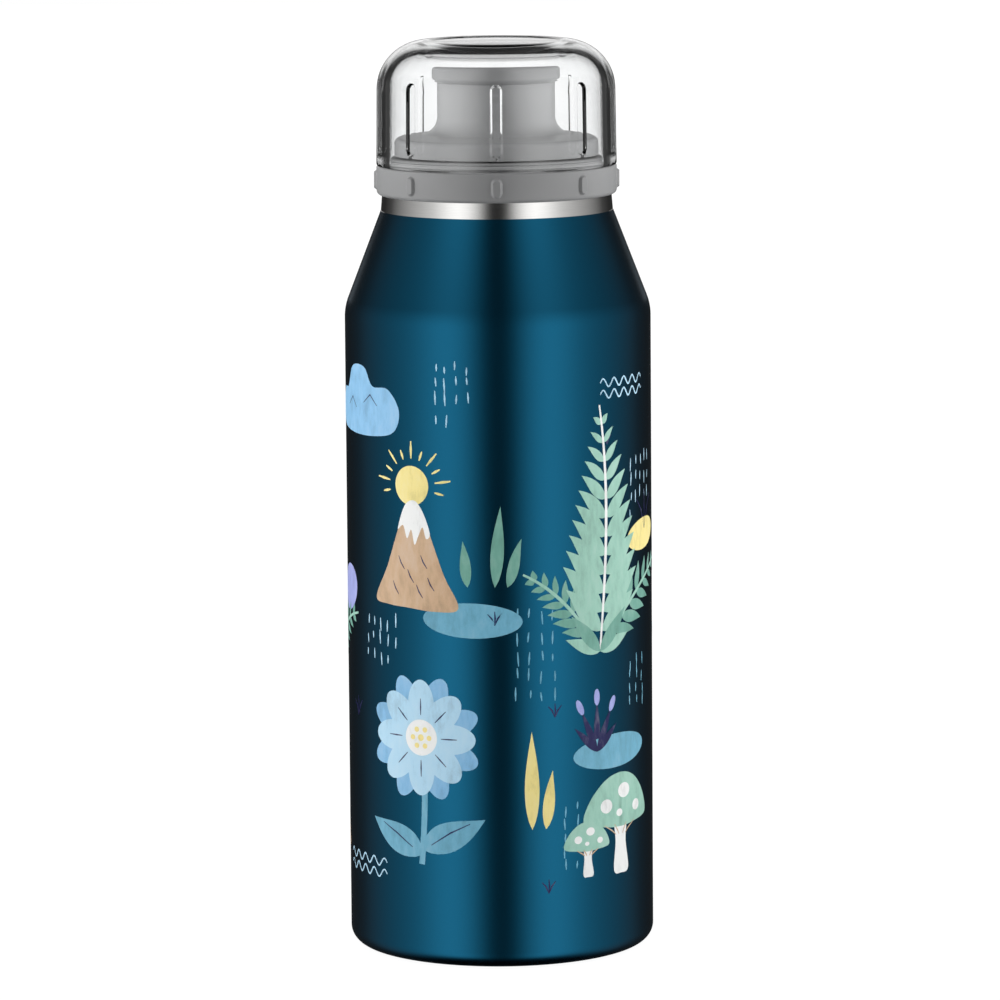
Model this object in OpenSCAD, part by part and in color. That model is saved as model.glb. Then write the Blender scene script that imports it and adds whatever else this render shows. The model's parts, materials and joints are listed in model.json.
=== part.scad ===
// Kids' vacuum drinking bottle: a coated double-walled steel flask, a screw closure with a
// twist-open drinking spout, and a clear pull-off cap. Millimetres, +Z up, the origin at the
// middle of the base, and the front at -Y.

/* [Flask] */
// Outer diameter of the straight body
body_d = 70; // [66:0.5:90]
// Height at which the body's side would meet the shoulder cone
body_h = 147.6; // [100:0.1:260]
// Height of the shoulder cone
shoulder_h = 22; // [16:0.5:40]
// Radius that blends the body into the shoulder
shoulder_r = 12.5; // [8:0.5:16]
// Diameter of the neck where the shoulder ends
neck_d = 53.1; // [52:0.1:64]
// Height of bare neck between the shoulder and the grip ring
neck_h = 3.6; // [1:0.1:10]
// How much slimmer the neck's top radius is than its foot
neck_taper = 0.35; // [0:0.05:1]
// Radius of the rounded edge at the base
base_r = 3.9; // [2:0.1:6]
// Width of the flat ring that the bottle stands on
foot_w = 2.6; // [1.5:0.1:5]
// Thickness of the outer shell's sheet
shell_wall = 0.5; // [0.4:0.05:1]
// Thickness of the inner liner's sheet
liner_wall = 0.5; // [0.4:0.05:1]
// Vacuum gap between the shell and the liner
vacuum_gap = 5; // [3:0.25:6]
// Vacuum gap between the two walls in the neck
neck_gap = 1.2; // [0.8:0.1:2]
// Height of the welded bottom plate above the standing ring
plate_z = 3.4; // [3:0.1:5]
// Clear height between the bottom plate and the liner's bottom
bottom_gap = 7.4; // [6:0.1:12]

/* [Closure] */
// Height of the grip ring
ring_h = 6.7; // [5.5:0.1:9]
// Thickness of the grip ring's skirt
ring_wall = 0.9; // [0.8:0.1:3]
// Number of grip ribs on the ring and of grooves in the cap
grips = 8; // [4:1:12]
// Width of one grip rib
rib_w = 2.4; // [1.5:0.1:4]
// Height of one grip rib
rib_h = 4.4; // [3:0.1:5]
// How far a rib stands out of the ring
rib_out = 0.6; // [0.3:0.1:1.2]
// Depth to which the stopper reaches below the flask's lip
stopper_h = 12.4; // [11:0.1:20]
// Wall of the stopper
stopper_wall = 2; // [1.4:0.1:2.4]
// Axial distance from one turn of the closure's thread to the next
thread_pitch = 4; // [3.4:0.1:5]
// Height of the thread's ridges
thread_h = 1.3; // [1:0.1:1.6]

/* [Spout] */
// Outer diameter of the spout's tube
spout_d = 26.86; // [20:0.1:32.4]
// How far the bead round the spout's rim stands out
rim_out = 1.13; // [0.5:0.05:2]
// Height of the bead round the spout's rim
rim_h = 4; // [3:0.1:5]
// Wall of the spout's tube
spout_wall = 2.5; // [2:0.1:3]
// Height of the spout's drum above the grip ring
drum_h = 7.1; // [6.4:0.1:9]
// Radius of the hollow curve between the spout's tube and its drum
flare_r = 4; // [2:0.1:5]
// Diameter of the drinking hole
mouth_d = 10; // [8:0.5:12]
// How far the spout rises when it is twisted open
spout_rise = 2.5; // [1.5:0.1:3]
// Angle through which the spout is twisted
spout_angle = 90; // [60:5:120]

/* [Cap] */
// Height of the clear cap
cap_h = 28.4; // [23:0.1:40]
// Wall of the clear cap
cap_wall = 3; // [2:0.1:3.4]
// Thickness of the cap's crown
cap_crown = 2.6; // [1.5:0.1:4]
// Radius of the cap's upper edge
cap_edge_r = 11.3; // [6:0.1:13]
// Width of one grip groove
groove_w = 2.3; // [1.5:0.1:4]
// Height of one grip groove
groove_h = 16.1; // [8:0.1:17]
// Depth of one grip groove
groove_depth = 0.7; // [0.3:0.05:1.2]

/* [Clearances] */
// Gap between curved faces that move past each other
run_gap = 0.3; // [0.2:0.05:0.4]
// Gap between a thread's crest and the wall that it faces
thread_gap = 0.5; // [0.3:0.05:0.6]
// Gap between flat faces that seat on each other
seat_gap = 0.05; // [0:0.01:0.1]
// Gap between the clear cap and the drum inside it
drum_gap = 1.15; // [0.6:0.05:2]
// Gap between the opened spout and the cap's crown
crown_gap = 0.5; // [0.3:0.05:2]

/* [Hidden] */
$fn = 96;
arc_steps = 8;      // straight steps in each rounded profile edge
helix_step = 10;    // degrees between the sections of a thread
sink = 0.3;         // how deep a thread is rooted in its wall

coat_blue = [0.03, 0.24, 0.38];
bare_steel = [0.78, 0.78, 0.76];
foil_copper = [0.80, 0.50, 0.36];
plastic_grey = [0.62, 0.63, 0.65];
silicone_white = [0.88, 0.88, 0.86];

// The flask's outline
body_r = body_d / 2;
neck_r = neck_d / 2;
lip_r = neck_r - neck_taper;
slope = atan2(body_r - neck_r, shoulder_h);
neck_z = body_h + shoulder_h;
foot_r = body_r - base_r - foot_w;
liner_off = shell_wall + vacuum_gap;
liner_r = body_r - liner_off;
liner_neck_r = lip_r - shell_wall - neck_gap;
mouth_r = liner_neck_r - liner_wall;
liner_z = plate_z + shell_wall + bottom_gap;
liner_round = 6;
seam_z = liner_z + 8;
weld_gap = 0.05;

// The closure's stack, from the grip ring's top down to the flask's lip
deck_t = 1.3;
flange_t = 1.2;
gasket_t = 1;
ring_z = neck_z + neck_h;
ring_top = ring_z + ring_h;
flange_top = ring_top - deck_t;
flange_z = flange_top - flange_t;
gasket_z = flange_z - gasket_t;
lip_z = gasket_z - seat_gap;
ring_in = lip_r + run_gap;
ring_r = ring_in + ring_wall;
stopper_r = mouth_r - thread_h - thread_gap;
stopper_in = stopper_r - stopper_wall;
stopper_z = lip_z - stopper_h;
ridge_base = 0.21 * thread_pitch;
ridge_crest = 0.11 * thread_pitch;
ring_thread_z = stopper_z + 1.9;
neck_thread_z = ring_thread_z + thread_pitch / 2;

// The cap's outline
cap_draft = 0.2;
cap_in = ring_r - cap_wall;
cap_top = ring_top + cap_h;
cap_dish = 0.4;
groove_z = ring_top + 3.5;

// The collar that the cap fits over
collar_h = 2.1;
collar_r = cap_in - 0.25;
grip_cord = 1.2;
grip_groove = 0.8;

// The spout's drum and tube
spout_r = spout_d / 2;
spout_in = spout_r - spout_wall;
spout_top = cap_top - cap_crown - spout_rise - crown_gap;
drum_r = cap_in - drum_gap;
drum_z = ring_top + collar_h + 0.4;
drum_top = ring_top + drum_h;
drum_wall = 1.8;
drum_edge = 1.2;
drum_fall = 0.6;
rim_r = spout_r + rim_out;
rim_round = 1;
hole_r = mouth_d / 2;
top_wall = 1.5;
top_dish = 0.5;
sleeve_z = flange_z - 3.4;

// The turret that the spout turns on
turret_in = spout_r + run_gap + 0.05;
turret_wall = 1.8;
turret_r = turret_in + turret_wall;
turret_z = sleeve_z - 1.5;
turret_top = drum_top - drum_wall - 0.3;
ramp_h = 1;
ramp_starts = 3;
ramp_lead = spout_rise * 360 / spout_angle;
ramp_pitch = ramp_lead / ramp_starts;
ramp_base = 0.55;
ramp_crest = 0.3;
ramp_angle = 50;
ramp_start = 65;
ramp_z = turret_top - 3.4;
skirt_in = turret_r + ramp_h + 0.4;
skirt_wall = 1.6;
skirt_r = skirt_in + skirt_wall;
skirt_z = flange_top + 0.4;
skirt_ramp_z = ramp_z - ramp_pitch / 2;
collar_in = skirt_r + 0.6;

// The spout's O-ring
o_ring_d = 1.6;
o_ring_r = turret_in - 0.05 - o_ring_d / 2;
o_ring_z = sleeve_z + 2.5;

// The valve: a fixed stem that carries a soft tip into the drinking hole
stem_r = 3.4;
stem_hub_r = 5;
spoke_w = 3;
spider_t = 2;
spider_rim = 2.4;
nib_r = 2;
tip_plug_r = hole_r - run_gap;
tip_flange_r = hole_r + 1.2;
tip_flange_t = 2.1;
tip_top = spout_top - top_dish - 0.2;
tip_seat = spout_top - top_dish - top_wall - 0.4;
stem_top = tip_seat - tip_flange_t;
nib_top = tip_seat + 0.4;

// The air vent, in the flange between the turret and the stopper's wall
vent_bead = 0.3;
vent_r = min((turret_r + stopper_in) / 2, collar_in - 1 - vent_bead - 0.1);
vent_disc_r = min(vent_r - turret_r, stopper_in - vent_r) - 0.3;
vent_hole_r = min(1, vent_disc_r / 2);
vent_angle = 22.5;

// Points of an arc in the (radius, height) plane, from angle a to angle b
function arc(r, z, rad, a, b) =
    [for (i = [0 : arc_steps]) let (t = a + (b - a) * i / arc_steps)
        [r + rad * cos(t), z + rad * sin(t)]];

function reverse(list) = [for (i = [len(list) - 1 : -1 : 0]) list[i]];

// The shell's shoulder, moved inwards by off and ending at radius r_end
function shoulder(off, r_end) =
    let (z = body_h - shoulder_r * tan(slope / 2),
         blend = arc(body_r - shoulder_r, z, shoulder_r - off, 0, slope),
         z_end = body_h + (body_r - off / cos(slope) - r_end) / tan(slope))
    concat(blend, [[r_end, max(z_end, blend[arc_steps][1] + 1)]]);

module ring(r_in, r_out, z0, z1) {
    rotate_extrude() translate([r_in, z0]) square([r_out - r_in, z1 - z0]);
}

// A helical ridge rooted in a round wall that reaches r_crest and sinks back at both ends
module helix_ridge(r_wall, r_crest, lead, angle, z, start, half_root, half_crest) {
    out = sign(r_crest - r_wall);
    root = r_wall - out * sink;
    steps = ceil(angle / helix_step);
    fade = 2.5;
    points = [for (i = [0 : steps])
        let (t = start + angle * i / steps,
             z_i = z + lead * (t - start) / 360,
             r_top = root + (r_crest - root) * min(1, (i + 0.2) / fade, (steps - i + 0.2) / fade))
        for (p = [[root, -out * half_root], [r_top, -out * half_crest],
                  [r_top, out * half_crest], [root, out * half_root]])
            [p[0] * cos(t), p[0] * sin(t), z_i + p[1]]];
    sides = [for (i = [0 : steps - 1], k = [0 : 3])
        let (a = i * 4 + k, b = i * 4 + (k + 1) % 4)
        each [[a, b, b + 4], [a, b + 4, a + 4]]];
    end = steps * 4;
    ends = [[0, 2, 1], [0, 3, 2], [end, end + 1, end + 2], [end, end + 2, end + 3]];
    polyhedron(points, concat(sides, ends));
}

// An upright slot with round ends that reaches from radius r0 to r1, at the front
module pill(w, h, z, r0, r1) {
    translate([0, -r0, z]) rotate([90, 0, 0]) linear_extrude(r1 - r0) {
        translate([-w / 2, -(h - w) / 2]) square([w, h - w]);
        for (side = [-1, 1]) translate([0, side * (h - w) / 2]) circle(d = w);
    }
}

module at_each_grip() {
    for (i = [0 : grips - 1]) rotate([0, 0, 360 * i / grips]) children();
}

// ---- Flask ----

// The shell's side seen in section, from the standing ring to the welded lip
function shell_side(off) = concat(
    arc(body_r - base_r, base_r, base_r - off, -90, 0),
    shoulder(off, neck_r - off),
    [[lip_r - off, ring_z], [lip_r - off, lip_z - liner_wall]]);

module outer_shell() {
    roll = 1;
    hem_z = plate_z + 1.2;
    color(coat_blue) rotate_extrude() polygon(concat(
        [[foot_r, hem_z]],
        arc(foot_r + roll, roll, roll, 180, 270),
        shell_side(0),
        reverse(shell_side(shell_wall)),
        [[foot_r + shell_wall, shell_wall], [foot_r + shell_wall, hem_z]]));
}

module inner_liner() {
    lip_round = liner_wall / 2;
    color(bare_steel) {
        rotate_extrude() polygon(concat(
            [[liner_r, seam_z]],
            shoulder(liner_off, liner_neck_r),
            [[liner_neck_r, lip_z - liner_wall], [lip_r, lip_z - liner_wall]],
            arc(lip_r - lip_round, lip_z - lip_round, lip_round, 0, 90),
            arc(mouth_r + liner_wall, lip_z - liner_wall, liner_wall, 90, 180),
            reverse(shoulder(liner_off + liner_wall, mouth_r)),
            [[liner_r - liner_wall, seam_z]]));
        helix_ridge(mouth_r, mouth_r - thread_h, thread_pitch, 360, neck_thread_z, 0,
                    ridge_base, ridge_crest);
    }
}

module inner_bottom() {
    edge = liner_r - liner_round;
    color(bare_steel) rotate_extrude() polygon(concat(
        [[0, liner_z]],
        arc(edge, liner_z + liner_round, liner_round, -90, 0),
        [[liner_r, seam_z], [liner_r - liner_wall, seam_z]],
        arc(edge, liner_z + liner_round, liner_round - liner_wall, 0, -90),
        [[0, liner_z + liner_wall]]));
}

dimple_r = 4.5;
dimple_h = 1.2;
evacuation_r = 1.2;

module outer_bottom() {
    r = foot_r - weld_gap;
    top = plate_z + dimple_h;
    color(bare_steel) rotate_extrude() polygon([
        [evacuation_r, top], [dimple_r, top], [dimple_r + dimple_h, plate_z], [r, plate_z],
        [r, plate_z + shell_wall], [dimple_r + dimple_h, plate_z + shell_wall],
        [dimple_r, top + shell_wall], [evacuation_r, top + shell_wall]]);
}

module vacuum_plug() {
    bead_r = dimple_r - 1;
    bead_z = plate_z + dimple_h;
    color([0.25, 0.27, 0.25]) rotate_extrude() polygon(concat(
        [[0, bead_z - 1]],
        arc(bead_r - 0.8, bead_z - 0.2, 0.8, -90, 0),
        [[bead_r, bead_z], [evacuation_r - weld_gap, bead_z],
         [evacuation_r - weld_gap, bead_z + shell_wall], [0, bead_z + shell_wall]]));
}

module base_cover() {
    r = foot_r - 0.25;
    z = 1.4;
    edge = 0.8;
    color(bare_steel) rotate_extrude() polygon(concat(
        [[0, z + 0.3], [r * 0.6, z + 0.3], [r * 0.6 + 1, z]],
        arc(r - edge, z + edge, edge, -90, 0),
        [[r, plate_z], [r - shell_wall, plate_z], [r - shell_wall, z + shell_wall],
         [r * 0.6 + 1, z + shell_wall], [r * 0.6, z + 0.3 + shell_wall],
         [0, z + 0.3 + shell_wall]]));
}

getter_x = 15;
getter_r = 4;
getter_h = 1.8;

module at_getter() {
    translate([getter_x, 0, plate_z + shell_wall]) children();
}

module getter_clip() {
    clip_t = 0.4;
    color(bare_steel) at_getter() {
        ring(getter_r + weld_gap, getter_r + weld_gap + clip_t, 0, getter_h + clip_t + 0.1);
        ring(getter_r - 1, getter_r + weld_gap + clip_t, getter_h + 0.1, getter_h + clip_t + 0.1);
    }
}

module getter_pellet() {
    color([0.35, 0.35, 0.37]) at_getter() cylinder(r = getter_r, h = getter_h);
}

module radiation_foil() {
    foil_t = 0.15;
    color(foil_copper)
        ring(liner_r + 0.1, liner_r + 0.1 + foil_t, seam_z, body_h - shoulder_r * tan(slope / 2));
}

// ---- Closure ----

module neck_gasket() {
    r_in = stopper_r + run_gap;
    r_out = lip_r;
    color(silicone_white) ring(r_in, r_out, gasket_z, flange_z - seat_gap);
}

module stopper() {
    bevel = 0.8;
    color(plastic_grey) {
        difference() {
            union() {
                rotate_extrude() polygon([
                    [stopper_in, stopper_z], [stopper_r - bevel, stopper_z],
                    [stopper_r, stopper_z + bevel], [stopper_r, flange_z],
                    [lip_r, flange_z], [lip_r, flange_top],
                    [turret_in, flange_top], [turret_in, flange_z], [stopper_in, flange_z]]);
                ring(turret_in, turret_r, turret_z, turret_top);
            }
            at_vent() translate([0, 0, flange_z - 1]) cylinder(r = vent_hole_r, h = flange_t + 2);
        }
        helix_ridge(stopper_r, stopper_r + thread_h, thread_pitch, 360, ring_thread_z, 0,
                    ridge_base, ridge_crest);
        for (i = [0 : ramp_starts - 1])
            helix_ridge(turret_r, turret_r + ramp_h, ramp_lead, ramp_angle, ramp_z,
                        ramp_start + 360 * i / ramp_starts, ramp_base, ramp_crest);
    }
}

module grip_ring() {
    foot = min(1, ring_wall);
    top_edge = 0.4;
    cord_z = ring_top + collar_h / 2;
    color(plastic_grey) {
        rotate_extrude() difference() {
            polygon(concat(
                [[ring_in, ring_z]],
                arc(ring_r - foot, ring_z + foot, foot, -90, 0),
                arc(ring_r - top_edge, ring_top - top_edge, top_edge, 0, 90),
                [[collar_r, ring_top], [collar_r, ring_top + collar_h - 0.3],
                 [collar_r - 0.3, ring_top + collar_h], [collar_in, ring_top + collar_h],
                 [collar_in, flange_top], [ring_in, flange_top]]));
            translate([collar_r - grip_groove, cord_z - grip_cord / 2])
                square([grip_groove + 1, grip_cord]);
        }
        at_each_grip() pill(rib_w, rib_h, ring_z + ring_h / 2, ring_r - 0.3, ring_r + rib_out);
    }
}

module cap_grip_ring() {
    cord_z = ring_top + collar_h / 2;
    r_in = collar_r - grip_groove + weld_gap;
    r_out = cap_in - 0.05;
    half = grip_cord / 2 - 0.1;
    color(silicone_white) rotate_extrude() difference() {
        translate([r_in, cord_z - half]) square([r_out - r_in, 2 * half]);
        for (side = [-1, 1]) translate([r_out, cord_z + side * half]) circle(r = 0.3);
    }
}

module at_vent() {
    rotate([0, 0, vent_angle]) translate([vent_r, 0, 0]) children();
}

module vent_valve() {
    stem = vent_hole_r - 0.1;
    bead = vent_hole_r + vent_bead;
    disc_t = 0.6;
    color(silicone_white) at_vent() rotate_extrude() polygon([
        [0, flange_z - 2 * disc_t], [stem, flange_z - 2 * disc_t],
        [vent_disc_r, flange_z - disc_t], [vent_disc_r, flange_z - seat_gap],
        [stem, flange_z - seat_gap], [stem, flange_top + seat_gap],
        [bead, flange_top + seat_gap], [stem, flange_top + 0.3], [0, flange_top + 0.3]]);
}

// ---- Valve and spout ----

module valve_stem() {
    rim_out_r = stopper_in - weld_gap;
    color(silicone_white) {
        ring(rim_out_r - spider_rim, rim_out_r, stopper_z, stopper_z + spider_t);
        for (i = [0 : 3]) rotate([0, 0, 45 + 90 * i])
            translate([0, -spoke_w / 2, stopper_z])
                cube([rim_out_r - spider_rim / 2, spoke_w, spider_t]);
        rotate_extrude() polygon([
            [0, stopper_z], [stem_hub_r, stopper_z], [stem_hub_r, stopper_z + spider_t],
            [stem_r, stopper_z + spider_t + 2], [stem_r, stem_top], [nib_r, stem_top],
            [nib_r, nib_top], [0, nib_top]]);
    }
}

module valve_tip() {
    dome = 0.7;
    color(silicone_white) rotate_extrude() difference() {
        polygon(concat(
            [[0, stem_top + seat_gap], [tip_flange_r - 0.4, stem_top + seat_gap],
             [tip_flange_r, stem_top + 0.45], [tip_flange_r, tip_seat - 0.4],
             [tip_flange_r - 0.4, tip_seat], [tip_plug_r, tip_seat]],
            arc(tip_plug_r - dome, tip_top - dome, dome, 0, 90),
            [[0, tip_top]]));
        square([nib_r + weld_gap, nib_top + weld_gap]);
    }
}

// The spout's outside in section: drum, flare, tube, rim bead and dished top
function spout_side() = concat(
    [[drum_r, drum_z]],
    arc(drum_r - drum_edge, drum_top - drum_fall - drum_edge, drum_edge, 0, 90),
    arc(spout_r + flare_r, drum_top + flare_r, flare_r, 270, 180),
    [[spout_r, spout_top - rim_h]],
    arc(rim_r - rim_round, spout_top - rim_h + 1.2 * rim_round, rim_round, -50, 0),
    arc(rim_r - rim_round, spout_top - rim_round, rim_round, 0, 90),
    [[rim_r - 3, spout_top], [hole_r + 1, spout_top - top_dish],
     [hole_r, spout_top - top_dish]]);

module spout_section() {
    under = drum_top - drum_wall;
    bore_top = spout_top - top_dish - top_wall;
    difference() {
        union() {
            polygon(concat([[hole_r, drum_z]], spout_side()));
            translate([spout_in, sleeve_z]) square([spout_wall, under - sleeve_z]);
            translate([skirt_in, skirt_z]) square([skirt_wall, under - skirt_z]);
        }
        square([spout_in, bore_top - 1]);
        square([spout_in - 1, bore_top]);
        translate([spout_in - 1, bore_top - 1]) circle(r = 1);
        translate([spout_r, 0]) square([skirt_in - spout_r, under]);
        translate([skirt_r, 0]) square([max(0, drum_r - drum_wall - skirt_r), under - drum_fall]);
        translate([o_ring_r - o_ring_d / 2 - weld_gap, o_ring_z - o_ring_d / 2 - 0.2])
            square([o_ring_d, o_ring_d + 0.4]);
    }
}

module drinking_spout() {
    color(plastic_grey) {
        rotate_extrude() spout_section();
        for (i = [0 : ramp_starts - 1])
            helix_ridge(skirt_in, skirt_in - ramp_h, ramp_lead, ramp_angle, skirt_ramp_z,
                        ramp_start + 360 * i / ramp_starts, ramp_base, ramp_crest);
    }
}

module spout_o_ring() {
    color(silicone_white) rotate_extrude() translate([o_ring_r, o_ring_z]) circle(d = o_ring_d);
}

// ---- Cap ----

module clear_cap() {
    top_r = ring_r - cap_draft;
    in_r = cap_in - cap_draft;
    in_edge = cap_edge_r - cap_wall;
    in_top = cap_top - cap_crown;
    foot = 0.4;
    rim = top_r - cap_edge_r;
    color([0.85, 0.9, 0.92, 0.35]) difference() {
        rotate_extrude() polygon(concat(
            [[cap_in, ring_top], [ring_r - foot, ring_top], [ring_r, ring_top + foot]],
            arc(top_r - cap_edge_r, cap_top - cap_edge_r, cap_edge_r, 0, 90),
            [[rim - 1.5, cap_top - cap_dish], [0, cap_top - cap_dish], [0, in_top]],
            arc(in_r - in_edge, in_top - in_edge, in_edge, 90, 0)));
        at_each_grip()
            pill(groove_w, groove_h, groove_z + groove_h / 2, ring_r - groove_depth, ring_r + 1);
    }
}

outer_shell();
inner_liner();
inner_bottom();
outer_bottom();
base_cover();
vacuum_plug();
getter_clip();
getter_pellet();
radiation_foil();
neck_gasket();
stopper();
grip_ring();
cap_grip_ring();
valve_stem();
valve_tip();
vent_valve();
drinking_spout();
spout_o_ring();
clear_cap();
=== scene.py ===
"""Looks of a child's insulated drinking bottle: printed steel flask, grey closure, clear cap.

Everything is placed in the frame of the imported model, front towards -Y. Sizes in the code are
millimetres, and MM turns them into Blender's metres.
"""
import json
import math
import random

import bmesh
import bpy
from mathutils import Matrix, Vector


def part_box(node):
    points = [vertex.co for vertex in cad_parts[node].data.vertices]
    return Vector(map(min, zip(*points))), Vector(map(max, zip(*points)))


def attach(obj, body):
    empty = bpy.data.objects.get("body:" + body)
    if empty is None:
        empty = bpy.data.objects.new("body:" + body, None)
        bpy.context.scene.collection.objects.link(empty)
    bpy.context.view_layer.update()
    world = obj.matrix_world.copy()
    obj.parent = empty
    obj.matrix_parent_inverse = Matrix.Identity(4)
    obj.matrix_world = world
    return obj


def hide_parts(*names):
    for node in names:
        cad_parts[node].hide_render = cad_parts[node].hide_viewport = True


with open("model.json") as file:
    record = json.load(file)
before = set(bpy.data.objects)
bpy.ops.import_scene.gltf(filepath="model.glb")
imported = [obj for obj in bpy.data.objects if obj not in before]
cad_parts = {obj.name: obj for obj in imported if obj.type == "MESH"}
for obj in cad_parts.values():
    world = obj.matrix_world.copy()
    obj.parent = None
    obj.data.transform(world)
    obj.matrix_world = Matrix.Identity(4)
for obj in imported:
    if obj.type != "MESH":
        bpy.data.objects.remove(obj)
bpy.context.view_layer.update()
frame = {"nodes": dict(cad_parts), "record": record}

MM = 0.001
TAU = 2 * math.pi


# ---- Sizes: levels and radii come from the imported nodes, details are named here ----


def top(node):
    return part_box(node)[1].z / MM


def bottom(node):
    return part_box(node)[0].z / MM


def radius(node):
    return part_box(node)[1].x / MM


BODY_R = radius("outer_shell")
LIP_Z = top("inner_liner")
LIP_R = radius("neck_gasket")
RING_Z = bottom("grip_ring")
CAP_R = radius("clear_cap")
CAP_Z = bottom("clear_cap")
CAP_TOP = top("clear_cap")
COLLAR_TOP = top("grip_ring")
SPOUT_TOP = top("drinking_spout")
DRUM_R = radius("drinking_spout")
SLEEVE_Z = bottom("drinking_spout")

# Flask: straight body up to BODY_H, then a shoulder that falls to the neck over SHOULDER_DROP
BODY_H, SHOULDER_R, SHOULDER_DROP = 147.6, 12.5, 22.0
NECK_R, NECK_WALL = 26.55, 0.6
COAT_EDGE_Z, COAT_T = RING_Z - 3.6, 0.06
BASE_R, FOOT_W, FOOT_EDGE_R, HEM_Z = 3.9, 2.6, 1.0, 4.6
SHELL_WALL = 0.5

# Grips: ribs on the ring and grooves in the cap, in line with each other
GRIPS = 8
RIB_W, RIB_H, RIB_OUT, RIB_TRIM, RIB_BLEND = 2.4, 4.4, 0.6, 0.3, 0.5
GROOVE_W, GROOVE_H, GROOVE_DEPTH, GROOVE_FOOT, GROOVE_BLEND = 2.3, 16.1, 0.7, 3.5, 0.55
RIB_ROW_STEP, GROOVE_ROW_STEP = 0.18, 0.3

# Grip ring, and its collar with the groove for the silicone cord
RING_WALL, RING_EDGE_R, RING_TOP_EDGE_R, DECK_DROP = 0.9, 1.0, 0.4, 1.3
COLLAR_GAP, COLLAR_IN, COLLAR_EDGE_R = 0.25, 19.18, 0.35
CORD_HALF, CORD_DEPTH = 0.6, 0.8

# Clear cap: its wall leans in by CAP_DRAFT, and CAP_SLOPE is that lean in degrees
CAP_WALL, CAP_CROWN, CAP_EDGE_R, CAP_DRAFT, CAP_DISH = 3.0, 2.6, 11.3, 0.2, 0.4
CAP_SLOPE = math.degrees(math.atan(CAP_DRAFT / (CAP_TOP - CAP_Z - CAP_EDGE_R)))

# Spout
SPOUT_R, SPOUT_WALL, RIM_OUT, RIM_H, RIM_EDGE_R = 13.43, 2.5, 1.13, 4.0, 1.0
FLARE_R, DRUM_H, DRUM_EDGE, DRUM_FALL, DRUM_WALL, DRUM_GAP = 4.0, 7.1, 1.2, 0.6, 1.8, 0.4
HOLE_R, HOLE_EDGE_R, TOP_WALL, TOP_DISH = 5.0, 0.6, 1.5, 0.5


# ---- Mesh building ----


def arc(r, z, rad, start, end, steps=14):
    """Points of an arc in the (radius, height) plane, from one angle to the other in degrees."""
    angles = [math.radians(start + (end - start) * i / steps) for i in range(steps + 1)]
    return [(r + rad * math.cos(a), z + rad * math.sin(a)) for a in angles]


def subdivide(points, z_low, z_high, step):
    """Adds points to the steep stretches of a profile that lie between two heights."""
    out = []
    for (r0, z0), (r1, z1) in zip(points, points[1:] + points[:1]):
        cuts = [z_low + step * i for i in range(int((z_high - z_low) / step) + 1)]
        cuts = sorted((z for z in cuts if min(z0, z1) < z < max(z0, z1)), reverse=z1 < z0)
        out.append((r0, z0))
        out += [(r0 + (r1 - r0) * (z - z0) / (z1 - z0), z) for z in cuts]
    return out


def even_angles(count):
    return [TAU * i / count for i in range(count)]


def grip_angles(half_width, r):
    """Column angles packed closely round each of the grips, which start at the front."""
    near = [half_width * 1.6 * t / 10 / r for t in range(-10, 11)]
    gap = TAU / GRIPS - 2 * near[-1]
    far = [near[-1] + gap * i / 10 for i in range(1, 10)]
    return [-TAU / 4 + TAU * k / GRIPS + a for k in range(GRIPS) for a in near + far]


def pill_relief(width, height, z_mid, depth, edge, r_from):
    """How far a wall outside r_from moves out at an upright slot or rib with round ends."""

    def relief(angle, r, z):
        if r < r_from:
            return 0.0
        turn = (angle + TAU / 4 + TAU / GRIPS / 2) % (TAU / GRIPS) - TAU / GRIPS / 2
        straight = (height - width) / 2
        away = math.hypot(turn * r, max(0.0, abs(z - z_mid) - straight))
        t = min(1.0, max(0.0, (width / 2 + edge / 2 - away) / edge))
        return depth * t * t * (3 - 2 * t)

    return relief


def revolve(name, profile, angles, relief=None, sharp_deg=28.0):
    """A closed profile of (radius, height) points turned round the bottle's axis."""
    mesh = bmesh.new()
    rings = []
    for r, z in profile:
        if r < 1e-6:
            rings.append([mesh.verts.new((0, 0, z * MM))] * len(angles))
            continue
        ring = []
        for a in angles:
            ra = r + (relief(a, r, z) if relief else 0.0)
            ring.append(mesh.verts.new((ra * math.cos(a) * MM, ra * math.sin(a) * MM, z * MM)))
        rings.append(ring)
    for low, high in zip(rings, rings[1:] + rings[:1]):
        for i in range(len(angles)):
            j = (i + 1) % len(angles)
            corners = list(dict.fromkeys((low[i], low[j], high[j], high[i])))
            if len(corners) > 2:
                mesh.faces.new(corners)
    bmesh.ops.recalc_face_normals(mesh, faces=mesh.faces)
    return finish_mesh(name, mesh, sharp_deg)


def finish_mesh(name, mesh, sharp_deg=28.0):
    """Smooth shading, with a crease wherever two faces meet at more than the given angle."""
    for face in mesh.faces:
        face.smooth = True
    for edge in mesh.edges:
        if len(edge.link_faces) == 2 and edge.calc_face_angle(0.0) > math.radians(sharp_deg):
            edge.smooth = False
    data = bpy.data.meshes.new(name)
    mesh.to_mesh(data)
    mesh.free()
    piece = bpy.data.objects.new(name, data)
    bpy.context.scene.collection.objects.link(piece)
    return piece


def dress(piece, body, slot, *materials, replaces=None):
    """Gives a finished piece its materials and its body, and hides the CAD node it replaces. The
    slot is not used.
    """
    for material in materials:
        piece.data.materials.append(material)
    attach(piece, body)
    if replaces:
        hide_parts(replaces)
    return piece


# ---- Material building ----


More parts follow.
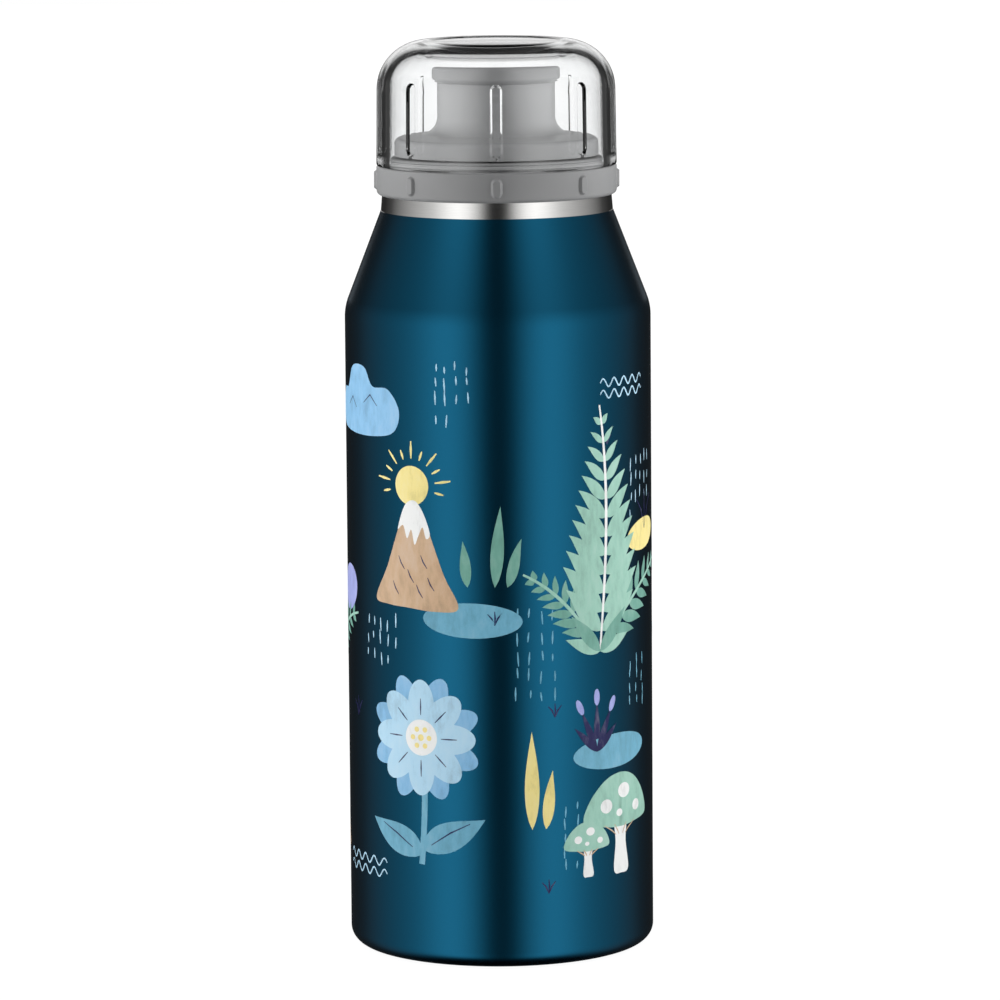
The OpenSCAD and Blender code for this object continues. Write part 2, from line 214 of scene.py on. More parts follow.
class Nodes:
    """A short way to write a node tree: each call adds a node and gives its first output."""

    def __init__(self, tree):
        self.tree = tree

    def add(self, kind, out=0, settings=None, **inputs):
        node = self.tree.nodes.new("ShaderNode" + kind)
        for key, value in (settings or {}).items():
            setattr(node, key, value)
        for key, value in inputs.items():
            index = int(key[1:]) if key[0] == "i" and key[1:].isdigit() else key.replace("_", " ")
            self.plug(node.inputs[index], value)
        return node.outputs[out]

    def plug(self, socket, value):
        if isinstance(value, bpy.types.NodeSocket):
            self.tree.links.new(value, socket)
        else:
            socket.default_value = value

    def math(self, operation, a, b=0.0, c=0.0):
        return self.add("Math", settings={"operation": operation}, i0=a, i1=b, i2=c)

    def vector(self, operation, a, b):
        return self.add("VectorMath", settings={"operation": operation}, i0=a, i1=b)

    def ramp(self, fac, stops, smooth=False):
        """A colour ramp of (position, grey or colour) stops."""
        out = self.add("ValToRGB", Fac=fac)
        elements = out.node.color_ramp.elements
        out.node.color_ramp.interpolation = "EASE" if smooth else "LINEAR"
        for _ in range(len(stops) - 2):
            elements.new(0.5)
        for element, (position, value) in zip(elements, stops):
            element.position = position
            colour = (value,) * 3 if isinstance(value, (int, float)) else value
            element.color = (*colour[:3], 1.0)
        return out

    def position(self):
        return self.add("TexCoord", out=3)

    def noise(self, scale, detail=3.0, roughness=0.5, at=None):
        return self.add("TexNoise", Vector=at or self.position(), Scale=scale, Detail=detail,
                        Roughness=roughness)

    def stretched(self, x, y, z):
        return self.vector("MULTIPLY", self.position(), (x, y, z))

    def turned(self, around, along):
        """Coordinates whose texture runs round the axis, as turning and brushing leave it."""
        xyz = self.add("SeparateXYZ", Vector=self.position())
        x, y, z = (xyz.node.outputs[i] for i in range(3))
        angle = self.math("ARCTAN2", y, x)
        r = self.math("SQRT", self.math("ADD", self.math("MULTIPLY", x, x),
                                        self.math("MULTIPLY", y, y)))
        return self.add("CombineXYZ", X=self.math("MULTIPLY", self.math("SINE", angle), around),
                        Y=self.math("MULTIPLY", self.math("COSINE", angle), around),
                        Z=self.math("MULTIPLY", self.math("ADD", z, r), along))

    def bump(self, height, distance_mm, strength=1.0):
        return self.add("Bump", Height=height, Distance=distance_mm * MM, Strength=strength)


def principled(name, build):
    """A material whose Principled shader is set by build(nodes, shader)."""
    material = bpy.data.materials.new(name)
    material.use_nodes = True
    tree = material.node_tree
    shader = next(n for n in tree.nodes if n.type == "BSDF_PRINCIPLED")
    nodes = Nodes(tree)
    for key, value in build(nodes).items():
        nodes.plug(shader.inputs[key.replace("_", " ")], value)
    return material


def coat_material():
    """Petrol-blue metallic coat with fine flakes and a slight orange peel."""

    def build(n):
        flakes = n.noise(9000, detail=2)
        drift = n.noise(14, detail=2)
        deep, bright = (0.002, 0.082, 0.155), (0.003, 0.112, 0.212)
        colour = n.add("Mix", settings={"data_type": "RGBA"}, out=2, i0=flakes, i6=(*deep, 1),
                       i7=(*bright, 1))
        peel = n.math("ADD", n.math("MULTIPLY", flakes, 0.5), n.noise(700, detail=1))
        return {"Base_Color": colour, "Metallic": 1.0,
                "Roughness": n.ramp(drift, [(0.2, 0.23), (0.8, 0.26)]),
                "Coat_Weight": 0.15, "Coat_Roughness": 0.25,
                "Normal": n.bump(peel, 0.012, 0.35)}

    return principled("petrol_coat", build)


def steel_material(name, colour, roughness, line_mm=0.05, anisotropy=0.5, depth=0.004):
    """Turned or brushed steel, with fine lines round the bottle's axis."""

    def build(n):
        lines = n.noise(1.0, detail=4, roughness=0.7, at=n.turned(6.0, 1.0 / (line_mm * MM)))
        broad = n.noise(220, detail=2)
        dark = tuple(0.86 * c for c in colour)
        tint = n.ramp(lines, [(0.3, dark), (0.7, colour)])
        rough = n.math("MULTIPLY_ADD", lines, 0.08,
                       n.math("MULTIPLY_ADD", broad, 0.04, roughness - 0.06))
        tangent = n.add("Tangent", settings={"direction_type": "RADIAL", "axis": "Z"})
        return {"Base_Color": tint, "Metallic": 1.0, "Roughness": rough,
                "Anisotropic": anisotropy, "Tangent": tangent, "Normal": n.bump(lines, depth)}

    return principled(name, build)


def plastic_material(name, colour, roughness=0.38, grain_mm=0.25, depth=0.006, specular=0.5):
    """Moulded plastic: a fine satin grain, with slow changes of tone and gloss."""

    def build(n):
        grain = n.noise(1.0 / (grain_mm * MM), detail=3, roughness=0.6)
        slow = n.noise(60, detail=2)
        dark = tuple(0.93 * c for c in colour)
        return {"Base_Color": n.ramp(slow, [(0.35, dark), (0.65, colour)]),
                "Roughness": n.ramp(grain, [(0.3, roughness - 0.04), (0.7, roughness + 0.04)]),
                "Specular_IOR_Level": specular, "Normal": n.bump(grain, depth)}

    return principled(name, build)


def clear_material():
    """Clear plastic with the faint waves of its moulding."""
    thick, thin = (0.975, 0.983, 0.986), (0.99, 0.994, 0.995)

    def build(n):
        flow = n.noise(45, detail=1)
        return {"Base_Color": n.ramp(flow, [(0.3, thick), (0.7, thin)]),
                "Roughness": n.ramp(flow, [(0.0, 0.0), (1.0, 0.012)]),
                "IOR": 1.5, "Transmission_Weight": 1.0, "Normal": n.bump(flow, 0.01, 0.2)}

    return principled("clear_cap_plastic", build)


def solder_material():
    """Dark, glossy solder glass."""
    dark, pale = (0.03, 0.035, 0.03), (0.07, 0.08, 0.07)

    def build(n):
        swirl = n.noise(900, detail=3)
        return {"Base_Color": n.ramp(swirl, [(0.3, dark), (0.7, pale)]),
                "Roughness": n.ramp(swirl, [(0.3, 0.08), (0.7, 0.2)]), "Coat_Weight": 0.6,
                "Coat_Roughness": 0.05, "Normal": n.bump(swirl, 0.03)}

    return principled("solder_bead", build)


def getter_material():
    """Dull, porous sintered metal."""
    dark, pale = (0.05, 0.05, 0.052), (0.13, 0.13, 0.135)

    def build(n):
        pores = n.noise(4200, detail=4, roughness=0.75)
        return {"Base_Color": n.ramp(pores, [(0.3, dark), (0.7, pale)]),
                "Metallic": 0.6, "Roughness": 0.75, "Normal": n.bump(pores, 0.05)}

    return principled("getter_sinter", build)


def foil_material():
    """Copper-coloured foil with long soft folds."""

    def build(n):
        folds = n.noise(1.0, detail=3, roughness=0.6, at=n.stretched(320, 320, 90))
        return {"Base_Color": n.ramp(folds, [(0.3, (0.62, 0.33, 0.2)), (0.7, (0.78, 0.5, 0.35))]),
                "Metallic": 1.0, "Roughness": n.ramp(folds, [(0.3, 0.12), (0.7, 0.3)]),
                "Normal": n.bump(folds, 0.12)}

    return principled("copper_foil", build)


def ink_material(name, colour, contrast=0.22, roughness=0.5):
    """Printed ink with the uneven tone of dry brush strokes."""

    def build(n):
        strokes = n.noise(1.0, detail=5, roughness=0.65, at=n.stretched(520, 520, 190))
        wash = n.noise(75, detail=2)
        chalk = n.noise(4200, detail=3, roughness=0.7)
        soft = n.math("MULTIPLY", strokes, 0.55)
        tone = n.math("ADD", soft, n.math("ADD", n.math("MULTIPLY", wash, 0.3),
                                          n.math("MULTIPLY", chalk, 0.15)))
        dark = tuple(c * (1 - contrast) for c in colour)
        light = tuple(c + (0.92 - c) * contrast * 0.6 for c in colour)
        return {"Base_Color": n.ramp(tone, [(0.36, dark), (0.5, colour), (0.66, light)]),
                "Roughness": n.ramp(chalk, [(0.3, roughness - 0.05), (0.7, roughness + 0.08)]),
                "Specular_IOR_Level": 0.35, "Normal": n.bump(chalk, 0.006)}

    return principled("ink_" + name, build)


# ---- Flask ----


def shell_profile():
    """The coated outside from the standing ring up to the bare neck, then the inside down."""
    slope = math.degrees(math.atan2(BODY_R - NECK_R, SHOULDER_DROP))
    turn_z = BODY_H - SHOULDER_R * math.tan(math.radians(slope / 2))
    foot_r = BODY_R - BASE_R - FOOT_W
    outside = (
        [(foot_r, HEM_Z)]
        + arc(foot_r + FOOT_EDGE_R, FOOT_EDGE_R, FOOT_EDGE_R, 180, 270, 8)
        + arc(BODY_R - BASE_R, BASE_R, BASE_R, -90, 0, 18)
        + arc(BODY_R - SHOULDER_R, turn_z, SHOULDER_R, 0, slope, 14)
        + [(NECK_R + COAT_T * 0.3, COAT_EDGE_Z - 0.12), (NECK_R, COAT_EDGE_Z)]
        + [(NECK_R - COAT_T, COAT_EDGE_Z + 0.02), (LIP_R, RING_Z), (LIP_R, LIP_Z - SHELL_WALL)]
    )
    inside = [(LIP_R - SHELL_WALL, LIP_Z - SHELL_WALL), (LIP_R - SHELL_WALL, RING_Z)]
    inside += [(NECK_R - NECK_WALL, COAT_EDGE_Z)]
    inside += arc(BODY_R - SHOULDER_R, turn_z, SHOULDER_R - SHELL_WALL, slope, 0, 10)
    inside += arc(BODY_R - BASE_R, BASE_R, BASE_R - SHELL_WALL, 0, -90, 10)
    inside += [(foot_r + SHELL_WALL, SHELL_WALL), (foot_r + SHELL_WALL, HEM_Z)]
    return outside + inside


def build_shell(coat, steel):
    """The printed shell, coated outside and bare on the neck and on the inside."""
    shell = revolve("printed_shell", shell_profile(), even_angles(288))
    dress(shell, "flask", "coated_steel", coat, steel, replaces="outer_shell")
    for face in shell.data.polygons:
        centre = face.center
        outward = Vector((centre.x, centre.y, 0)).normalized().dot(face.normal)
        bare = centre.z > COAT_EDGE_Z * MM or (outward < 0 and centre.z > BASE_R * MM)
        face.material_index = 1 if bare else 0
    return shell


# ---- Closure ----


def grip_ring_profile():
    """The ring's outside up to its shoulder, the collar with its cord groove, and the inside."""
    ring_in = CAP_R - RING_WALL
    collar_r = CAP_R - CAP_WALL - COLLAR_GAP
    groove_r = collar_r - CORD_DEPTH
    deck_z = CAP_Z - DECK_DROP
    cord_z = (CAP_Z + COLLAR_TOP) / 2
    return (
        [(ring_in, RING_Z)]
        + arc(CAP_R - RING_EDGE_R, RING_Z + RING_EDGE_R, RING_EDGE_R, -90, 0, 10)
        + arc(CAP_R - RING_TOP_EDGE_R, CAP_Z - RING_TOP_EDGE_R, RING_TOP_EDGE_R, 0, 90, 6)
        + [(collar_r, CAP_Z), (collar_r, cord_z - CORD_HALF), (groove_r, cord_z - CORD_HALF)]
        + [(groove_r, cord_z + CORD_HALF), (collar_r, cord_z + CORD_HALF)]
        + arc(collar_r - COLLAR_EDGE_R, COLLAR_TOP - COLLAR_EDGE_R, COLLAR_EDGE_R, 0, 90, 6)
        + [(COLLAR_IN, COLLAR_TOP), (COLLAR_IN, deck_z), (ring_in, deck_z)]
    )


def build_grip_ring(material):
    """The ring with its ribs, with more rows of points where the ribs stand."""
    profile = subdivide(grip_ring_profile(), RING_Z + RING_EDGE_R, CAP_Z - RING_TOP_EDGE_R,
                        RIB_ROW_STEP)
    relief = pill_relief(RIB_W - RIB_TRIM, RIB_H - RIB_TRIM, (RING_Z + CAP_Z) / 2, RIB_OUT,
                         RIB_BLEND, CAP_R - 0.1)
    ring = revolve("grip_collar", profile, grip_angles(RIB_W / 2, CAP_R), relief)
    return dress(ring, "closure", "grey_plastic", material, replaces="grip_ring")


def spout_profile():
    """Drum, flare, tube, rim bead and dished top outside, and the bore up the middle."""
    drum_top = CAP_Z + DRUM_H
    rim_r = SPOUT_R + RIM_OUT
    bore_r = SPOUT_R - SPOUT_WALL
    bore_top = SPOUT_TOP - TOP_DISH - TOP_WALL
    under = drum_top - DRUM_WALL
    drum_z = COLLAR_TOP + DRUM_GAP
    outside = (
        [(DRUM_R, drum_z)]
        + arc(DRUM_R - DRUM_EDGE, drum_top - DRUM_FALL - DRUM_EDGE, DRUM_EDGE, 0, 86, 14)
        + arc(SPOUT_R + FLARE_R, drum_top + FLARE_R, FLARE_R, 268, 180, 18)
        + [(SPOUT_R, SPOUT_TOP - RIM_H - 0.2)]
        + arc(rim_r - RIM_EDGE_R, SPOUT_TOP - RIM_H + 1.2, RIM_EDGE_R, -52, 0, 10)
        + arc(rim_r - RIM_EDGE_R, SPOUT_TOP - RIM_EDGE_R, RIM_EDGE_R, 0, 90, 12)
        + [(rim_r - 3, SPOUT_TOP)]
        + arc(HOLE_R + HOLE_EDGE_R, SPOUT_TOP - TOP_DISH - HOLE_EDGE_R, HOLE_EDGE_R, 90, 180, 8)
    )
    inside = [(HOLE_R, bore_top), (bore_r - 1, bore_top)]
    inside += arc(bore_r - 1, bore_top - 1, 1, 90, 0, 8)
    inside += [(bore_r, SLEEVE_Z), (SPOUT_R, SLEEVE_Z), (SPOUT_R, under)]
    inside += [(DRUM_R - DRUM_WALL, under - DRUM_FALL), (DRUM_R - DRUM_WALL, drum_z)]
    return outside + inside


def build_spout(material):
    spout = revolve("twist_spout", spout_profile(), even_angles(224))
    return dress(spout, "spout", "grey_plastic", material, replaces="drinking_spout")


# ---- Cap ----


def cap_profile():
    """The cap's leaning wall, rounded edge and dished crown outside, then the inside down."""
    top_r, in_r = CAP_R - CAP_DRAFT, CAP_R - CAP_WALL - CAP_DRAFT
    rim, in_top = top_r - CAP_EDGE_R, CAP_TOP - CAP_CROWN
    in_edge = CAP_EDGE_R - CAP_WALL
    outside = [(in_r + CAP_DRAFT, CAP_Z), (CAP_R - 0.4, CAP_Z), (CAP_R - 0.12, CAP_Z + 0.12)]
    outside += [(CAP_R, CAP_Z + 0.4)]
    outside += arc(rim, CAP_TOP - CAP_EDGE_R, CAP_EDGE_R, CAP_SLOPE, 88, 40)
    outside += arc(rim - 1.5, CAP_TOP - CAP_DISH + 0.5, 0.5, 300, 270, 6)
    inside = [(0, CAP_TOP - CAP_DISH), (0, in_top)]
    inside += arc(in_r - in_edge, in_top - in_edge, in_edge, 90, CAP_SLOPE, 28)
    return outside + inside


def build_cap(material):
    """The cap with its grooves, left out of shadow rays so that light reaches the spout."""
    low = CAP_Z + GROOVE_FOOT
    profile = subdivide(cap_profile(), low - 1, low + GROOVE_H + 1, GROOVE_ROW_STEP)
    relief = pill_relief(GROOVE_W, GROOVE_H, low + GROOVE_H / 2, -GROOVE_DEPTH, GROOVE_BLEND,
                         CAP_R - CAP_WALL * 0.8)
    cap = revolve("clear_lid", profile, grip_angles(GROOVE_W / 2, CAP_R), relief)
    dress(cap, "cap", "clear_plastic", material, replaces="clear_cap")
    cap.visible_shadow = False
    cap.visible_diffuse = False
    return cap


# ---- Print ----

PRINT_LIFT, PRINT_STEP = 0.016, 0.005
INKS = {
    "mint": (0.33, 0.60, 0.49),
    "sage": (0.17, 0.41, 0.33),
    "sky": (0.46, 0.72, 0.90),
    "azure": (0.24, 0.51, 0.78),
    "teal": (0.16, 0.44, 0.60),
    "yellow": (0.93, 0.79, 0.30),
    "tan": (0.62, 0.42, 0.26),
    "navy": (0.012, 0.012, 0.10),
    "white": (0.90, 0.91, 0.90),
    "lilac": (0.36, 0.40, 0.78),
}


class Motif:
    """A drawing on the unrolled flask, in millimetres: u runs right from the front, z up."""

    def __init__(self, name, u, z):
        self.name, self.u, self.z = name, u, z
        self.mesh = bmesh.new()
        self.layer = 0
        self.inks = []

    def add(self, ink, *outlines):
        """One layer of ink: outlines that don't overlap each other, over what is there."""
        if ink not in self.inks:
            self.inks.append(ink)
        lift = PRINT_LIFT + PRINT_STEP * self.layer
        for outline in outlines:
            verts = [self.mesh.verts.new((self.u + u, self.z + z, lift)) for u, z in outline]
            face = self.mesh.faces.new(verts)
            face.material_index = self.inks.index(ink)
        self.layer += 1
        return self

    def wrap(self, materials):
        """Fills the outlines, cuts them into narrow strips and lays them on the flask."""
        mesh = self.mesh
        bmesh.ops.triangulate(mesh, faces=mesh.faces)
        low = min(v.co.x for v in mesh.verts)
        high = max(v.co.x for v in mesh.verts)
        for u in range(math.ceil(low), math.ceil(high)):
            bmesh.ops.bisect_plane(mesh, geom=mesh.verts[:] + mesh.edges[:] + mesh.faces[:],
                                   plane_co=(u, 0, 0), plane_no=(1, 0, 0))
        for v in mesh.verts:
            angle = v.co.x / BODY_R - TAU / 4
            r = BODY_R + v.co.z
            v.co = Vector((r * math.cos(angle), r * math.sin(angle), v.co.y)) * MM
        for face in mesh.faces:
            face.normal_update()
            if face.normal.dot(Vector((face.calc_center_median().x,
                                       face.calc_center_median().y, 0))) < 0:
                face.normal_flip()
        piece = finish_mesh("print_" + self.name, mesh, 180.0)
        dress(piece, "flask", "coated_steel", *[materials[ink] for ink in self.inks])
        return piece


def spin(points, degrees, u=0.0, z=0.0):
    """Points turned round the origin, then moved to (u, z)."""
    c, s = math.cos(math.radians(degrees)), math.sin(math.radians(degrees))
    return [(u + c * a - s * b, z + s * a + c * b) for a, b in points]


def polar(r, degrees, z=0.0):
    """The point at a distance and a direction from (0, z)."""
    a = math.radians(degrees)
    return r * math.cos(a), z + r * math.sin(a)


def oval(u, z, half_w, half_h, tilt=0.0, steps=40):
    ring = [(half_w * math.cos(TAU * i / steps), half_h * math.sin(TAU * i / steps))
            for i in range(steps)]
    return spin(ring, tilt, u, z)


def leaf(u, z, length, width, direction, bend=0.0, steps=12):
    """A pointed leaf from its foot, with a direction in degrees and a sideways bend."""
    middle = [(length * t / steps, bend * math.sin(math.pi * t / steps / 2) ** 2)
              for t in range(steps + 1)]
    half = [width / 2 * math.sin(math.pi * (t / steps) ** 0.75) for t in range(steps + 1)]
    upper = [(a, b + h) for (a, b), h in zip(middle, half)]
    lower = [(a, b - h) for (a, b), h in zip(middle, half)][1:-1]
    return spin(upper + lower[::-1], direction, u, z)


def stroke(points, width, taper=0.55):
    """A pen line through the points, thinner towards its ends."""
    left, right = [], []
    for i, (u, z) in enumerate(points):
        a, b = points[max(0, i - 1)], points[min(len(points) - 1, i + 1)]
        along = Vector((b[0] - a[0], b[1] - a[1])).normalized()
        t = i / (len(points) - 1)
        half = width / 2 * (1 - taper * abs(2 * t - 1) ** 2)
        left.append((u - along.y * half, z + along.x * half))
        right.append((u + along.y * half, z - along.x * half))
    return left + right[::-1]


def rounded(points, steps=6):
    """A smooth closed outline through the points."""
    out, n = [], len(points)
    for i in range(n):
        p0, p1, p2, p3 = (Vector(points[(i + k) % n]) for k in (-1, 0, 1, 2))
        for s in range(steps):
            t = s / steps
            q = 0.5 * (2 * p1 + (p2 - p0) * t + (2 * p0 - 5 * p1 + 4 * p2 - p3) * t * t
                       + (3 * p1 - p0 - 3 * p2 + p3) * t ** 3)
            out.append((q.x, q.y))
    return out


def dashes(name, u, z, width, height, count, ink="sky", length=2.6):
    """Short upright pen strokes scattered over a patch, as rain or grass."""
    rng = random.Random(name)
    columns = max(2, round(width / 2.6))
    marks = []
    for i in range(count):
        column, row = i % columns, i // columns
        du = (column + 0.5) / columns * width - width / 2 + rng.uniform(-0.35, 0.35)
        rows = math.ceil(count / columns)
        dz = height / 2 - (row + 0.5) / rows * height + rng.uniform(-0.9, 0.9)
        tall = length * rng.uniform(0.6, 1.25) / 2
        lean = rng.uniform(-0.12, 0.12)
        marks.append(stroke([(du - lean, dz - tall), (du, dz), (du + lean, dz + tall)], 0.42))
    return Motif("dashes_" + name, u, z).add(ink, *marks)


def waves(name, u, z, width, ink="sky"):
    """Two rows of pen waves."""
    motif = Motif("waves_" + name, u, z)
    for row in (0, -2.6):
        points = [(width * (t / 48 - 0.5), row + 0.95 * math.sin(TAU * 4.5 * t / 48))
                  for t in range(49)]
        motif.add(ink, stroke(points, 0.42, 0.3))
    return motif


def grass_mark(name, u, z, ink="navy", size=3.2):
    """Three pen blades from one foot."""
    outer = [stroke([(0, 0), (k * 0.22 * size, size * 0.5), (k * 0.5 * size, size * h)], 0.4)
             for k, h in ((-1, 0.8), (1, 0.85))]
    return Motif("grass_" + name, u, z).add(ink, *outer).add(
        ink, stroke([(0, 0), (0.1, size * 0.5), (0, size)], 0.4))


def blades(name, u, z, ink, sizes):
    """Tall pointed blades side by side: (offset, height, width, lean) each."""
    motif = Motif("blades_" + name, u, z)
    for du, height, width, lean in sizes:
        motif.add(ink, leaf(du, 0, height, width, 90 - lean, bend=lean * 0.05))
    return motif


def hill(name, u, z, size=1.0, sun=True):
    """A snow-capped hill with pen shading, and a sun with rays behind its top."""
    s = size
    motif = Motif("hill_" + name, u, z)
    if sun:
        rays, sun_z = [], 27.5 * s
        for k in range(11):
            near, far = 6.3 * s, (8.6 + 1.7 * (k % 2)) * s
            rays.append(stroke([polar(r, -12 + 204 * k / 10, sun_z)
                                for r in (near, (near + far) / 2, far)], 0.62))
        motif.add("yellow", oval(0, sun_z, 4.6 * s, 4.6 * s), *rays)
    body = [(-11.5, 0.6), (-7.6, 8), (-4.4, 16), (-1.9, 22.6), (0.8, 24), (3.0, 21.4),
            (5.4, 15), (8.4, 7), (11.8, -0.4), (6, -1.4), (-1, -0.9), (-7, -0.6)]
    snow = [(-4.0, 17.3), (-1.9, 22.8), (0.8, 24.1), (3.1, 21.5), (4.9, 16.7), (3.9, 15.4),
            (3.0, 18.0), (1.8, 15.8), (0.8, 13.9), (-0.1, 17.3), (-1.3, 15.2), (-2.4, 18.2)]
    motif.add("tan", rounded([(a * s, b * s) for a, b in body]))
    motif.add("white", rounded([(a * s, b * s) for a, b in snow]))
    shade = [stroke([(a * s, b * s), ((a + 0.7) * s, (b - 1.6) * s), ((a + 1.7) * s, (b - 3) * s)],
                    0.34) for a, b in ((-3.8, 11), (-1.2, 8), (-5.6, 5), (2.4, 11.5), (4.2, 6.4),
                                       (1.2, 4.6))]
    return motif.add("navy", *shade)


def frond(motif, u, z, length, direction, curl, pairs, ink, vein):
    """A fern frond: leaflets in pairs along a bending stem."""
    steps, stem = pairs * 2, [(u, z)]
    for i in range(steps):
        a = math.radians(direction + curl * (i / steps) ** 1.6)
        stem.append((stem[-1][0] + math.cos(a) * length / steps,
                     stem[-1][1] + math.sin(a) * length / steps))
    for start in (2, 4):
        leaflets = []
        for i in range(start, steps, 4):
            a = direction + curl * (i / steps) ** 1.6
            long = length * 0.27 * (1 - (i / steps) ** 1.5) * (0.72 + 0.28 * min(1, i / 4)) + 1.2
            leaflets += [leaf(*stem[i], long, max(1.5, long * 0.33), a + side * 56,
                              bend=-side * long * 0.12) for side in (-1, 1)]
        motif.add(ink, *leaflets)
    motif.add(vein, stroke(stem, 0.8, 0.4))
    return motif


def fern(name, u, z, size=1.0):
    """A tall fern over two shorter ones and a low tuft."""
    s = size
    motif = Motif("fern_" + name, u, z)
    frond(motif, 1 * s, 2 * s, 36 * s, 42, -34, 8, "sage", "mint")
    frond(motif, -2 * s, 2 * s, 27 * s, 126, 30, 8, "sage", "mint")
    frond(motif, 0, 0, 62 * s, 84, 16, 13, "mint", "white")
    for k, (direction, length) in enumerate(((20, 11), (160, 11), (48, 14), (132, 13))):
        motif.add(("mint", "mint", "sage", "sage")[k],
                  leaf(0, -0.5 * s, length * s, 3.6 * s, direction))
    return motif


def flower(name, u, z, size=1.0, petal="sky", shade="azure"):
    """A big round-petalled flower on a stem, with a dotted middle and two leaves."""
    s = size
    head = 26 * s
    motif = Motif("flower_" + name, u, z)
    stem = [(0.8 * s * math.sin(t / 3), head * t / 8) for t in range(9)]
    motif.add("teal", stroke(stem, 1.5, 0))
    motif.add("teal", leaf(0.3, 3 * s, 15 * s, 6.2 * s, 32, bend=-1.5),
              leaf(0.3, 2 * s, 15 * s, 6.2 * s, 150, bend=1.5))
    motif.add("navy", stroke([(2.2 * s, 4.1 * s), (6.5 * s, 6.9 * s), (10.6 * s, 8.9 * s)], 0.36),
              stroke([(-2.2 * s, 3.3 * s), (-6.3 * s, 5.8 * s), (-10.2 * s, 7.6 * s)], 0.36))
    for ink, start, reach, wide in ((shade, 22.5, 11.6, 4.6), (petal, 0, 10.4, 5.0)):
        for parity in (0, 1):
            motif.add(ink, *[oval(*polar(reach * 0.62 * s, start + 45 * k, head),
                                  reach * 0.52 * s, wide * 0.62 * s, start + 45 * k)
                             for k in range(parity, 8, 2)])
    motif.add("navy", *[stroke([polar(r * s, 45 * k, head) for r in (4.6, 6.2, 8.0)], 0.34)
                        for k in range(8)])
    motif.add("white", oval(0, head, 3.7 * s, 3.7 * s))
    return motif.add("yellow", *[oval(1.9 * s * math.cos(TAU * k / 6),
                                      head + 1.9 * s * math.sin(TAU * k / 6), 0.55 * s, 0.55 * s)
                                 for k in range(6)], oval(0, head, 0.7 * s, 0.7 * s))


def cloud(name, u, z, size=1.0, ink="sky"):
    """A puffy cloud with pen curls under it."""
    outline = [(-9, -1.6), (-10.6, 1.2), (-8.2, 4), (-5.6, 4.4), (-3.2, 7.8), (1.2, 8),
               (3.6, 5.2), (7.4, 5), (9.8, 1.8), (8.6, -1.6), (4, -2.6), (-3, -2.6)]
    curls = [[(-5, 1.6), (-3.2, 3), (-1.6, 1.4)], [(1, 2.4), (3, 3.8), (4.8, 2.2)]]
    motif = Motif("cloud_" + name, u, z)
    motif.add(ink, rounded([(a * size, b * size) for a, b in outline]))
    return motif.add("navy", *[stroke([(a * size, b * size) for a, b in c], 0.36) for c in curls])


def pond(name, u, z, half_w, half_h, ink="teal", tilt=0.0):
    """A flat oval of one ink."""
    return Motif("pond_" + name, u, z).add(ink, oval(0, 0, half_w, half_h, tilt))


def reeds(name, u, z, size=1.0):
    """A round clump of reeds, drawn as dark blades that fan out, with heads."""
    motif = Motif("reeds_" + name, u, z)
    for k, (angle, long) in enumerate(((90, 12), (66, 11), (114, 11), (44, 9), (136, 9))):
        motif.add("navy", leaf(0, 0, long * size, 1.9 * size, angle))
        if k < 3:
            head = polar((long + 1.2) * size, angle)
            motif.add("lilac", oval(*head, 2.0 * size, 0.85 * size, angle))
    return motif


def mushroom(name, u, z, size=1.0, cap="mint"):
    """A spotted mushroom with a small one beside it."""
    motif = Motif("mushroom_" + name, u, z)
    for du, s in ((0, size), (-9.5 * size, 0.55 * size)):
        stalk = [(-2.2, 0), (-1.7, 6), (-1.9, 11), (1.9, 11), (1.7, 6), (2.6, 0), (0, -0.8)]
        hood = [(-10.4, 10.8), (-9.2, 15.2), (-5, 19.4), (0, 20.8), (5, 19.4), (9.2, 15.2),
                (10.4, 10.8), (5, 9.6), (0, 9.2), (-5, 9.6)]
        motif.add("white", rounded([(du + a * s, b * s) for a, b in stalk]))
        motif.add(cap, rounded([(du + a * s, b * s) for a, b in hood]))
        motif.add("white", oval(du - 4.4 * s, 14 * s, 1.7 * s, 1.5 * s),
                  oval(du + 1.2 * s, 16.8 * s, 2.0 * s, 1.6 * s),
                  oval(du + 5.8 * s, 13 * s, 1.4 * s, 1.2 * s),
                  oval(du - 0.4 * s, 12.2 * s, 1.0 * s, 0.8 * s))
        motif.add("tan", *[stroke([(du + a * s, 9.9 * s), (du + 0.55 * a * s, 8.6 * s),
                                   (du + 0.3 * a * s, 7.6 * s)], 0.32) for a in (-5, -2, 2, 5)])
    return motif


